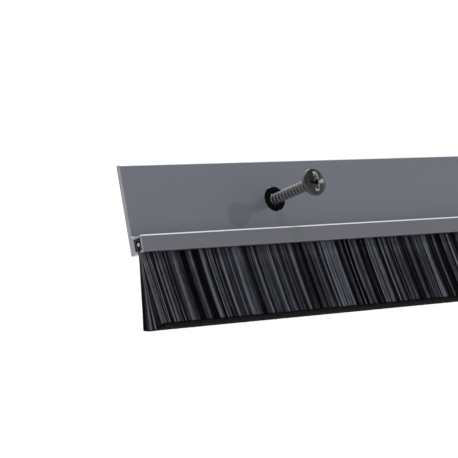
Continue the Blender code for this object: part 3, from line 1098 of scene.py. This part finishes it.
def make_bristles():
    plan = filament_plan(np.random.default_rng(SEED))
    paths = filament_paths(plan)
    finish = filament_material()
    parts = np.array_split(np.arange(len(paths)), STRETCHES)
    for number, chosen in enumerate(parts, start=1):
        radius, tone = plan["radius"][chosen], plan["tone"][chosen]
        mesh = tubes_mesh(f"bristles_{number}", paths[chosen], radius, tone)
        bend(dress(f"bristles_{number}", mesh, finish, None, "bristles"))
    bend(dress("bristles_core", core_mesh(), core_material(), None, "bristles"))


def bend(piece):
    """The piece's placement is baked into its mesh."""
    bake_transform(piece)


def core_mesh():
    """Dark inside of the pile, which closes the sight lines between the outer filaments and paints the shade
    there.
    """
    downs = [CORE_TOP, *BEND_STATIONS, CORE_LOW]
    back = [fan_point(CORE_SIDE, down) for down in downs]
    leans = np.linspace(CORE_SIDE, -CORE_SIDE, CORE_BOTTOM_STEPS)[1:-1]
    tips = [fan_point(lean, CORE_LOW) for lean in leans]
    front = [fan_point(-CORE_SIDE, down) for down in reversed(downs)]
    points = [(float(y), float(z)) for y, z in back + tips + front]
    reach = BRISTLES_HIGH.x - CORE_END_INSET
    mesh = bar_mesh("bristles_core", points, -reach, reach, CORE_END_EDGE)
    shade(mesh)
    return mesh


def make_root():
    """The CAD node of the roots keeps its own mesh and takes only a material."""
    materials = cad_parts["bristle_root"].data.materials
    materials.clear()
    materials.append(root_material())


# ---------------------------------------------------------------- stage

CAMERA_CLIP = 0.01
FLOOR_Z = -0.16
FLOOR_HALF = 30
FLOOR_DARK, FLOOR_LIGHT = (0.62, 0.62, 0.62), (0.65, 0.65, 0.65)
SKY_STRENGTH = 1.03
SKY_SHADES = (0.44, 0.30), (0.50, 1.0), (0.68, 1.0), (0.95, 0.55)

# Suns: name, direction they shine from, strength, angle in degrees
SUNS = (
    ("key", (-0.16, -0.38, 0.91), 2.5, 14),
    ("rim", (0.25, 0.38, 0.89), 3.6, 14),
    ("left", (-0.80, 0.06, 0.60), 1.5, 36),
)


def make_camera():
    data = bpy.data.cameras.new("camera")
    data.lens = CAMERA_LENS
    data.sensor_width = CAMERA_SENSOR
    data.clip_start = CAMERA_CLIP
    camera = scene_object("camera", data)
    corner = Vector((CARRIER_LOW.x, CARRIER_HIGH.y, CARRIER_HIGH.z))
    camera.location = corner + Vector(CAMERA_OFFSET)
    azimuth, elevation = math.radians(CAMERA_AZIMUTH), math.radians(CAMERA_ELEVATION)
    level = math.cos(elevation)
    back = Vector((math.sin(azimuth) * level, -math.cos(azimuth) * level, math.sin(elevation)))
    roll = Quaternion((0, 0, 1), math.radians(CAMERA_ROLL))
    camera.rotation_mode = "QUATERNION"
    camera.rotation_quaternion = (-back).to_track_quat("-Z", "Y") @ roll
    bpy.context.scene.camera = camera


def make_sun(name, direction, strength, angle):
    """Far soft light that shines from the given direction."""
    data = bpy.data.lights.new(name, "SUN")
    data.energy = strength
    data.angle = math.radians(angle)
    light = scene_object(name, data)
    light.rotation_mode = "QUATERNION"
    light.rotation_quaternion = Vector(direction).to_track_quat("Z", "Y")


def make_sky():
    """Studio surroundings: dim below, white around the horizon, softer overhead."""
    world = bpy.data.worlds.new("studio")
    world.use_nodes = True
    sky = world.node_tree
    height = parts_of(sky, "Generated")[AXIS_Z]
    level = span(sky, height, -1.0, 1.0, 0.0, 1.0)
    shades = [(position, (grey, grey, grey)) for position, grey in SKY_SHADES]
    background = sky.nodes["Background"]
    sky.links.new(ramp(sky, level, *shades), background.inputs["Color"])
    background.inputs["Strength"].default_value = SKY_STRENGTH
    bpy.context.scene.world = world
    bpy.context.scene.view_settings.view_transform = "Standard"


def make_floor():
    edit = bmesh.new()
    bmesh.ops.create_grid(edit, x_segments=1, y_segments=1, size=FLOOR_HALF)
    mesh = finished_mesh("floor", edit)
    made, tree, shader = new_material("pale_floor")
    speckle = noise(tree, (40, 40, 40), detail=2)
    set_shader(shader, tree, Base_Color=between(tree, speckle, FLOOR_DARK, FLOOR_LIGHT), Roughness=0.9)
    mesh.materials.append(made)
    floor = scene_object("floor", mesh)
    floor.location = (0, 0, FLOOR_Z)


make_camera()
make_sky()
make_floor()
for sun in SUNS:
    make_sun(*sun)
make_carrier()
make_holder()
make_wire()
make_root()
make_bushes()
make_screws()
make_bristles()
